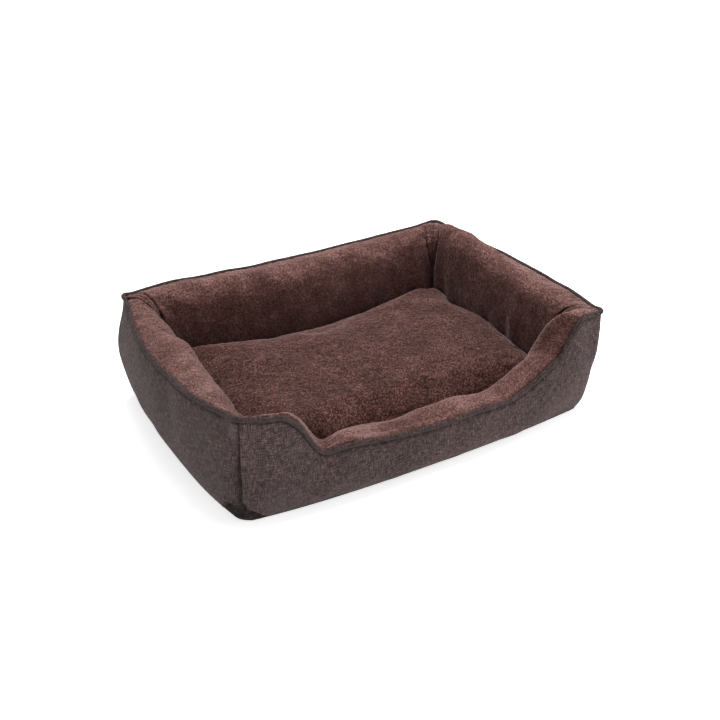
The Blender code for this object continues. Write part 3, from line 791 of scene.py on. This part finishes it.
# The cushion's edge rides up the walls: where along X and Y, how wide, how far out and up.
CUSHION_LIFTS = (
    (1.0, 0.95, 0.34, 0.008, 0.018),
    (1.0, 0.05, 0.55, 0.010, 0.011),
    (-0.95, 1.0, 0.36, 0.002, 0.016),
    (0.02, 1.0, 0.16, -0.004, -0.005),
)


def ride_up(points):
    """Lift the cushion's top towards its edge where it is pressed up the walls."""
    across = points[..., 0] / (CUSHION_WIDTH / 2)
    back = points[..., 1] / (CUSHION_DEPTH / 2)
    points = points.copy()
    for middle_x, middle_y, spread, out, up in CUSHION_LIFTS:
        close = np.exp(-((across - middle_x) ** 2 + (back - middle_y) ** 2) / spread**2)
        share = close * smooth_step(0.0, 0.012, points[..., 2] - CUSHION_SEAM)
        points[..., 2] += up * share
        points[..., 0] += out * share * across
        points[..., 1] += out * share * back
    return points


def add_cushion(looks):
    columns = round(CUSHION_WIDTH / CUSHION_COARSE_CELL)
    rows = round(CUSHION_DEPTH / CUSHION_COARSE_CELL)
    coarse, near = cushion_grid(columns, rows, underside=False)
    plan = coarse[..., :2]
    waves = lattice_noise(plan[..., 0], plan[..., 1], 0.085, 0.075, 7)
    waves += 0.5 * lattice_noise(plan[..., 0], plan[..., 1], 0.04, 0.045, 8)
    coarse[..., 2] += 0.0022 * waves * (1 - near**8)
    coarse = ride_up(coarse)
    pins = np.zeros(coarse.shape[:2])
    pins[[0, -1]] = 1
    pins[:, [0, -1]] = 1
    moved = simulate(coarse, quads_of(*coarse.shape[:2]), pins, pressure=2, slack=0.02, frames=20)
    sideways = limited((moved - coarse)[..., :2], CUSHION_CAPS[0])
    upward = limited((moved - coarse)[..., 2:], CUSHION_CAPS[1])
    coarse = coarse + np.concatenate([sideways, upward], -1)
    fine_columns = np.linspace(0, columns, round(CUSHION_WIDTH * 1.1 / CUSHION_CELL) + 1)
    fine_rows = np.linspace(0, rows, round(CUSHION_DEPTH * 1.1 / CUSHION_CELL) + 1)
    fine = resample(resample(coarse, fine_columns, 1, False), fine_rows, 0, False)
    cloth = np.stack([running_length(fine, 1), running_length(fine, 0)], -1)
    top = mesh_piece("cushion_top", fine, quads_of(*fine.shape[:2]), looks["cushion_plush_shaded"], cloth)
    add_pile(top)
    finish_piece(top, "cushion", "plush", "cushion_top_panel")

    under, _ = cushion_grid(UNDERSIDE_COLUMNS, UNDERSIDE_ROWS, underside=True)
    cloth = np.stack([running_length(under, 1), running_length(under, 0)], -1)
    bottom = mesh_piece(
        "cushion_underside", under, quads_of(*under.shape[:2], flip=True), looks["woven_cloth"], cloth
    )
    sink_zip_slot(bottom)
    finish_piece(bottom, "cushion", "woven_cloth", "cushion_bottom_panel")
    add_cushion_padding(coarse, looks)


def sink_zip_slot(cloth):
    """Fold the underside in to a narrow channel, whose floor is the guard behind the zip."""
    low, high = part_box("zip_chain")
    middle = (low[1] + high[1]) / 2
    edge = ZIP_SLOT_WIDTH / 2
    shape = bmesh.new()
    shape.from_mesh(cloth.data)
    cuts = (
        ((ZIP_SLOT_END, 0, 0), (1, 0, 0)),
        ((-ZIP_SLOT_END, 0, 0), (1, 0, 0)),
        ((0, middle + edge, 0), (0, 1, 0)),
        ((0, middle - edge, 0), (0, 1, 0)),
    )
    for point, normal in cuts:
        parts = [*shape.verts, *shape.edges, *shape.faces]
        bmesh.ops.bisect_plane(shape, geom=parts, plane_co=point, plane_no=normal)
    inside = []
    for face in shape.faces:
        centre = face.calc_center_median()
        if abs(centre.x) < ZIP_SLOT_END and abs(centre.y - middle) < edge:
            inside.append(face)
    sunk = bmesh.ops.extrude_face_region(shape, geom=inside)["geom"]
    guard = [part for part in sunk if isinstance(part, bmesh.types.BMVert)]
    rise = max(high[2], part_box("zip_slider")[1][2]) + CLEARANCE / 2 - CUSHION_FOOT
    bmesh.ops.translate(shape, verts=guard, vec=(0, 0, rise))
    covering = [face for face in inside if face.is_valid]
    bmesh.ops.delete(shape, geom=covering, context="FACES")
    shape.to_mesh(cloth.data)
    shape.free()


def add_zip_teeth(looks):
    """The coil's teeth: two rows of short rounded bars that lie between one another."""
    low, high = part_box("zip_chain")
    middle, level = (low[1] + high[1]) / 2, (low[2] + high[2]) / 2
    reach, thick = (high[1] - low[1]) / 2, (high[2] - low[2]) / 2
    past = reach * 0.16
    pitch, half = 0.0016, 0.00046
    around, stations = 8, ((0.0, 0.45), (0.10, 1.0), (0.72, 0.92), (0.90, 1.18), (1.0, 0.6))
    points, faces = [], []
    for side in (-1, 1):
        for number in range(int((high[0] - low[0] - 2 * pitch) / pitch)):
            x = low[0] + pitch * (number + 1 + side / 4)
            first = len(points)
            for share, swell in stations:
                y = middle + side * (reach - share * (reach + past))
                for step in range(around):
                    angle = step * 2 * math.pi / around
                    sideways = x + half * swell * math.cos(angle)
                    points.append((sideways, y, level + thick * min(1, swell) * math.sin(angle)))
            faces += (quads_of(len(stations), around, flip=side > 0, wrap=True) + first).tolist()
            ends = (first, first + around * (len(stations) - 1))
            caps = [list(range(end, end + around)) for end in ends]
            caps[side > 0].reverse()
            faces += caps
    teeth = mesh_piece("zip_teeth", np.array(points), faces, looks["zip_coil"])
    finish_piece(teeth, "cushion", "zip_coil", "zip_chain")


def add_cushion_padding(top, looks):
    """The cushion's filling: its two faces drawn in from the cloth, and joined at the seam."""
    rows, columns = top.shape[:2]
    under, _ = cushion_grid(columns - 1, rows - 1, underside=True)
    points = np.stack([top, under])
    points[..., :2] *= 1 - 0.012 / np.array([CUSHION_WIDTH, CUSHION_DEPTH])
    points[0, ..., 2] = np.maximum(points[0, ..., 2] - 0.007, CUSHION_SEAM + 0.001)
    points[1, ..., 2] = np.minimum(points[1, ..., 2] + 0.0065, CUSHION_SEAM - 0.001)
    count = rows * columns
    index = np.arange(count).reshape(rows, columns)
    edge = np.concatenate([index[0, :-1], index[:-1, -1], index[-1, :0:-1], index[:0:-1, 0]])
    after = np.roll(edge, -1)
    sides = np.stack([edge, edge + count, after + count, after], -1)
    below = quads_of(rows, columns, flip=True) + count
    faces = np.concatenate([quads_of(rows, columns), below, sides])
    padding = mesh_piece("cushion_padding", points, faces, looks["fibre_fill"])
    finish_piece(padding, "cushion", "fibre_fill", "cushion_fill")


# ---- Materials -------------------------------------------------------------------------------
class Look:
    """A material and short ways to add nodes to it."""

    def __init__(self, name, **sockets):
        self.material = bpy.data.materials.new(name)
        self.material.use_nodes = True
        self.tree = self.material.node_tree
        self.shader = self.tree.nodes["Principled BSDF"]
        self.set(**sockets)

    def set(self, **sockets):
        for socket, value in sockets.items():
            self.shader.inputs[socket.replace("_", " ")].default_value = value

    def add(self, kind, inputs, **settings):
        """A new node, whose inputs are given as numbers or as other nodes' outputs."""
        node = self.tree.nodes.new(kind)
        for key, value in settings.items():
            setattr(node, key, value)
        for key, value in inputs.items():
            if isinstance(value, bpy.types.NodeSocket):
                self.tree.links.new(value, node.inputs[key])
            else:
                node.inputs[key].default_value = value
        return node

    def place(self):
        return self.add("ShaderNodeTexCoord", {}).outputs["Object"]

    def cloth(self):
        return self.add("ShaderNodeAttribute", {}, attribute_name="cloth").outputs["Vector"]

    def scaled(self, vector, scale, turn=0.0):
        inputs = {"Vector": vector, "Scale": scale, "Rotation": (0, 0, math.radians(turn))}
        return self.add("ShaderNodeMapping", inputs).outputs["Vector"]

    def noise(self, vector, scale, detail=2.0, roughness=0.5, distortion=0.0):
        inputs = {"Vector": vector, "Scale": scale, "Detail": detail}
        inputs |= {"Roughness": roughness, "Distortion": distortion}
        return self.add("ShaderNodeTexNoise", inputs).outputs["Fac"]

    def math(self, operation, one, two=0.0):
        return self.add("ShaderNodeMath", {0: one, 1: two}, operation=operation).outputs[0]

    def ramp(self, value, stops):
        node = self.add("ShaderNodeValToRGB", {"Fac": value})
        steps = node.color_ramp.elements
        while len(steps) < len(stops):
            steps.new(0.5)
        for step, (position, colour) in zip(steps, stops):
            step.position = position
            step.color = (*colour, 1)
        return node.outputs["Color"]

    def mix(self, amount, one, two, mode="MIX"):
        inputs = {"Factor": amount, 6: one, 7: two}
        return self.add("ShaderNodeMix", inputs, data_type="RGBA", blend_type=mode).outputs[2]

    def bump(self, height, distance, strength=1.0, normal=None):
        inputs = {"Height": height, "Distance": distance, "Strength": strength}
        if normal is not None:
            inputs["Normal"] = normal
        return self.add("ShaderNodeBump", inputs).outputs["Normal"]

    def with_painted_shade(self, colour, cloth):
        """The colour darkened by painted shade in the seams, folds and corner tuck, as much as the
        cloth attribute's third part says.
        """
        depth = self.add("ShaderNodeSeparateXYZ", {"Vector": cloth}).outputs["Z"]
        shade = self.ramp(depth, ((0.05, (1, 1, 1)), (0.95, (0.16, 0.15, 0.15))))
        return self.mix(1.0, colour, shade, "MULTIPLY")

    def link(self, socket, value):
        self.tree.links.new(value, self.shader.inputs[socket])


def yarns(look, cloth, pitch, length, seed):
    """One set of yarns: how high each point is on its yarn, and a shade along every yarn."""
    split = look.add("ShaderNodeSeparateXYZ", {"Vector": cloth})
    across = look.math("MULTIPLY", split.outputs["X"], 1 / pitch)
    number = look.math("FLOOR", across)
    part = look.math("FRACT", across)
    round_top = look.math("SINE", look.math("MULTIPLY", part, math.pi))
    inputs = {
        "X": look.math("MULTIPLY", number, 3.7),
        "Y": look.math("MULTIPLY", split.outputs["Y"], 1 / length),
        "Z": seed,
    }
    spot = look.add("ShaderNodeCombineXYZ", inputs).outputs["Vector"]
    return round_top, number, look.noise(spot, 1.0, 2.0, 0.6)


def weave_look(name, pitch, colours, sheen):
    """A melange weave: warp and weft yarns over and under each other, each with slubs."""
    look = Look(name, Roughness=0.92, Sheen_Weight=sheen, Sheen_Roughness=0.5)
    look.set(Sheen_Tint=(0.75, 0.66, 0.66, 1), Specular_IOR_Level=0.25)
    cloth = look.cloth()
    turned = look.scaled(cloth, (1, 1, 1), 90)
    warp_height, warp_number, warp_shade = yarns(look, cloth, pitch, 0.009, 1.0)
    weft_height, weft_number, weft_shade = yarns(look, turned, pitch, 0.009, 5.0)
    order = look.math("ADD", warp_number, weft_number)
    over = look.math("MODULO", look.math("ABSOLUTE", order), 2.0)
    shade = look.add("ShaderNodeMix", {"Factor": over, 2: warp_shade, 3: weft_shade}).outputs[0]
    height = look.add("ShaderNodeMix", {"Factor": over, 2: warp_height, 3: weft_height}).outputs[0]
    slub_up = look.noise(look.scaled(cloth, (760, 75, 1)), 1.0, 1.5, 0.6)
    slub_along = look.noise(look.scaled(cloth, (75, 760, 1)), 1.0, 1.5, 0.6)
    slub = look.math("MULTIPLY", look.math("ADD", slub_up, slub_along), 0.5)
    dark, middle, light, fleck = colours
    colour = look.ramp(shade, ((0.30, dark), (0.46, middle), (0.60, light), (0.74, fleck)))
    for run in (slub_up, slub_along):
        streak = look.ramp(run, ((0.39, (0.42,) * 3), (0.49, (1.0,) * 3), (0.62, (1.28, 1.26, 1.26))))
        colour = look.mix(1.0, colour, streak, "MULTIPLY")
    patches = look.noise(look.place(), 9.0, 3.0, 0.55)
    worn = look.ramp(patches, ((0.35, (0.82, 0.82, 0.82)), (0.65, (1.12, 1.10, 1.10))))
    colour = look.mix(1.0, colour, worn, "MULTIPLY")
    groove = look.ramp(height, ((0.0, (0.45, 0.45, 0.45)), (0.6, (1, 1, 1))))
    colour = look.mix(0.8, colour, groove, "MULTIPLY")
    look.link("Base Color", look.with_painted_shade(colour, cloth))
    fuzz = look.noise(look.place(), 900.0, 2.0, 0.6)
    slubs = look.bump(slub, 0.0011, 0.7)
    look.link("Normal", look.bump(look.math("ADD", height, fuzz), 0.00045, 0.8, slubs))
    return look.material


def plush_look(name, tone, top_light_gain, contrast):
    """Short-pile plush: patches of laid nap, clumps and fine fibres, with a pale edge at a graze.
    Tone scales the colour, the next argument is how much lighter the pile is painted where it faces
    up, a painted highlight from the light above, and contrast how far the tufts' shades lie apart."""
    look = Look(name, Roughness=1.0, Sheen_Weight=0.62, Sheen_Roughness=0.30)
    look.set(Sheen_Tint=(1.0, 0.70, 0.66, 1), Specular_IOR_Level=0.1)
    place = look.place()
    patches = look.noise(place, 24.0, 3.0, 0.6, 0.4)
    nap = look.scaled(place, (1, 1, 1), 31)
    clumps = look.noise(look.scaled(nap, (350, 190, 330)), 1.0, 1.5, 0.6, 0.4)
    fibres = look.noise(look.scaled(nap, (600, 310, 540)), 1.0, 2.0, 0.7)
    browns = (
        (0.30, (0.050, 0.022, 0.018)),
        (0.48, (0.066, 0.030, 0.025)),
        (0.60, (0.084, 0.040, 0.034)),
        (0.74, (0.110, 0.058, 0.051)),
    )
    nap_patches_and_top_light = look.ramp(patches, [(at, np.multiply(tone, brown)) for at, brown in browns])
    facing = look.add("ShaderNodeNewGeometry", {}).outputs["Normal"]
    upward = look.add("ShaderNodeSeparateXYZ", {"Vector": facing}).outputs["Z"]
    # Painted highlight: the pile is made lighter where it faces up, as if lit from above.
    painted_top_light = look.ramp(upward, ((0.42, (1, 1, 1)), (0.94, (top_light_gain, top_light_gain * 1.07, top_light_gain * 1.10))))
    nap_patches_and_top_light = look.mix(1.0, nap_patches_and_top_light, painted_top_light, "MULTIPLY")
    low, high = 1 - 0.45 * contrast, 1 + 0.70 * contrast
    tuft_shade = look.ramp(clumps, ((0.38, (low,) * 3), (0.50, (0.96,) * 3), (0.62, (high,) * 3)))
    fibre_shade = look.ramp(fibres, ((0.41, (low,) * 3), (0.50, (0.96,) * 3), (0.59, (high,) * 3)))
    colour = look.mix(1.0, nap_patches_and_top_light, tuft_shade, "MULTIPLY")
    colour = look.mix(1.0, colour, fibre_shade, "MULTIPLY")
    look.link("Base Color", look.with_painted_shade(colour, look.cloth()))
    tufts = look.bump(clumps, 0.0020, 0.7)
    look.link("Normal", look.bump(fibres, 0.0010, 0.8, tufts))
    return look.material


GLOSS_SPREAD = 0.12  # how far the roughness of a plain material varies


def plain_look(name, colours, size, bump, roughness, metallic=0.0):
    """A material with a grained colour between two shades, uneven roughness and a fine bump."""
    look = Look(name, Metallic=metallic)
    place = look.place()
    broad = look.noise(place, 1 / size, 3.0, 0.6)
    fine = look.noise(place, 6 / size, 2.0, 0.6)
    level = look.math("ADD", look.math("MULTIPLY", broad, 0.5), look.math("MULTIPLY", fine, 0.5))
    look.link("Base Color", look.ramp(level, ((0.36, colours[0]), (0.64, colours[1]))))
    gloss = look.math("MULTIPLY_ADD", fine, GLOSS_SPREAD)
    gloss.node.inputs[2].default_value = roughness - GLOSS_SPREAD / 2
    look.link("Roughness", gloss)
    look.link("Normal", look.bump(level, bump, 0.8))
    return look.material


def make_looks():
    woven = ((0.020, 0.012, 0.012), (0.056, 0.034, 0.033), (0.100, 0.066, 0.063), (0.17, 0.125, 0.12))
    piping = tuple(tuple(0.76 * part for part in shade) for shade in woven)
    tape = ((0.018, 0.012, 0.012), (0.040, 0.028, 0.027), (0.065, 0.046, 0.044), (0.09, 0.07, 0.068))
    looks = {
        "woven_cloth": weave_look("woven_cloth", 0.0013, woven, 0.06),
        "piping_cloth": weave_look("piping_cloth", 0.0011, piping, 0.04),
        # The two plush looks are lit and shaded copies of one plush: the walls' is painted lighter
        # where it faces up, the cushion's is painted darker and redder.
        "plush": plush_look("plush", (0.78, 0.76, 0.77), 1.76, 0.75),
        "cushion_plush_shaded": plush_look("cushion_plush_shaded", (0.69, 0.60, 0.58), 1.0, 1.2),
        "zip_tape": weave_look("zip_tape", 0.0006, tape, 0.05),
    }
    # dark and light shade, size of the grain, bump, roughness and metal
    plain = {
        "base_cloth": ((0.008,) * 3, (0.022,) * 3, 0.002, 0.0003, 0.75, 0),
        "fibre_fill": ((0.66, 0.66, 0.63), (0.86, 0.86, 0.84), 0.006, 0.002, 0.95, 0),
        "piping_cord": ((0.58, 0.56, 0.51), (0.80, 0.78, 0.73), 0.002, 0.0006, 0.85, 0),
        "zip_coil": ((0.026, 0.017, 0.016), (0.050, 0.036, 0.033), 0.004, 0.00005, 0.42, 0),
        "zip_metal": ((0.030, 0.025, 0.024), (0.10, 0.088, 0.084), 0.003, 0.00004, 0.38, 0.85),
    }
    for name, (dark, light, *rest) in plain.items():
        looks[name] = plain_look(name, (dark, light), *rest)
    return looks


def finish_piece(piece, body, slot, *nodes):
    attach(piece, body)
    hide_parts(*nodes)


def dress_frame_nodes(looks):
    """Materials for the frame's nodes that stay in sight as they are."""
    kept = {
        "fibre_fill": ("base_wadding",),
        "zip_tape": ("zip_tape_front", "zip_tape_rear"),
        "zip_metal": ("zip_top_stop", "zip_bottom_stop", "zip_slider", "zip_pull"),
    }
    for look, nodes in kept.items():
        for node in nodes:
            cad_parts[node].material_slots[0].material = looks[look]


# ---- Camera, light and floor -----------------------------------------------------------------
def add_aimed(data, location, aim):
    """A camera or light at a place, turned along a direction."""
    thing = bpy.data.objects.new(data.name, data)
    thing.location = location
    thing.rotation_mode = "QUATERNION"
    thing.rotation_quaternion = aim.to_track_quat("-Z", "Y")
    bpy.context.scene.collection.objects.link(thing)
    return thing


def add_camera():
    azimuth, elevation, distance = math.radians(-30.80), math.radians(28.72), 1.7104
    target = Vector((-0.009, -0.0295, 0.0962))
    flat = math.cos(elevation)
    back = Vector((math.sin(azimuth) * flat, -math.cos(azimuth) * flat, math.sin(elevation)))
    data = bpy.data.cameras.new("photo_camera")
    data.sensor_width = 36
    data.lens = 49.83
    bpy.context.scene.camera = add_aimed(data, target + back * distance, -back)


def add_area_light(name, location, size, power):
    data = bpy.data.lights.new(name, "AREA")
    data.shape = "RECTANGLE"
    data.size = data.size_y = size
    data.energy = power
    add_aimed(data, location, Vector((0, 0, 0.08)) - Vector(location))


def add_studio():
    world = bpy.data.worlds.new("studio")
    world.use_nodes = True
    background = world.node_tree.nodes["Background"]
    background.inputs["Color"].default_value = (1, 1, 1, 1)
    background.inputs["Strength"].default_value = 0.50
    bpy.context.scene.world = world
    add_area_light("top_softbox", (0.55, 0.45, 1.6), 1.8, 50)
    add_area_light("front_softbox", (-1.6, -1.6, 1.0), 1.4, 11)
    add_area_light("side_softbox", (1.1, -1.2, 0.6), 0.7, 8)

    half = 30.0
    corners = np.array([(-half, -half, 0), (half, -half, 0), (half, half, 0), (-half, half, 0)])
    floor_look = plain_look("pale_floor", ((0.93, 0.93, 0.93), (0.95, 0.95, 0.95)), 0.2, 0.0, 0.9)
    sockets = floor_look.node_tree.nodes["Principled BSDF"].inputs
    sockets["Emission Color"].default_value = (1, 1, 1, 1)
    sockets["Emission Strength"].default_value = 0.55
    floor = mesh_piece("studio_floor", corners, [[0, 1, 2, 3]], floor_look)
    bpy.context.scene.view_settings.view_transform = "Standard"


# ---- Building the scene ----------------------------------------------------------------------
add_camera()
add_studio()
looks = make_looks()

walls = Walls()
walls.shape()
rim_row = walls.rim[None]
walls.outer_shown = np.concatenate([walls.outer, rim_row - [0, 0, PIPING_RADIUS * 0.55]])
walls.lining_shown = np.concatenate([walls.lining, rim_row])
add_padding(walls, looks)
add_walls(walls, looks)
add_piping(walls, looks)
add_base(looks)
add_floor_lining(looks)
add_cushion(looks)
add_zip_teeth(looks)
dress_frame_nodes(looks)
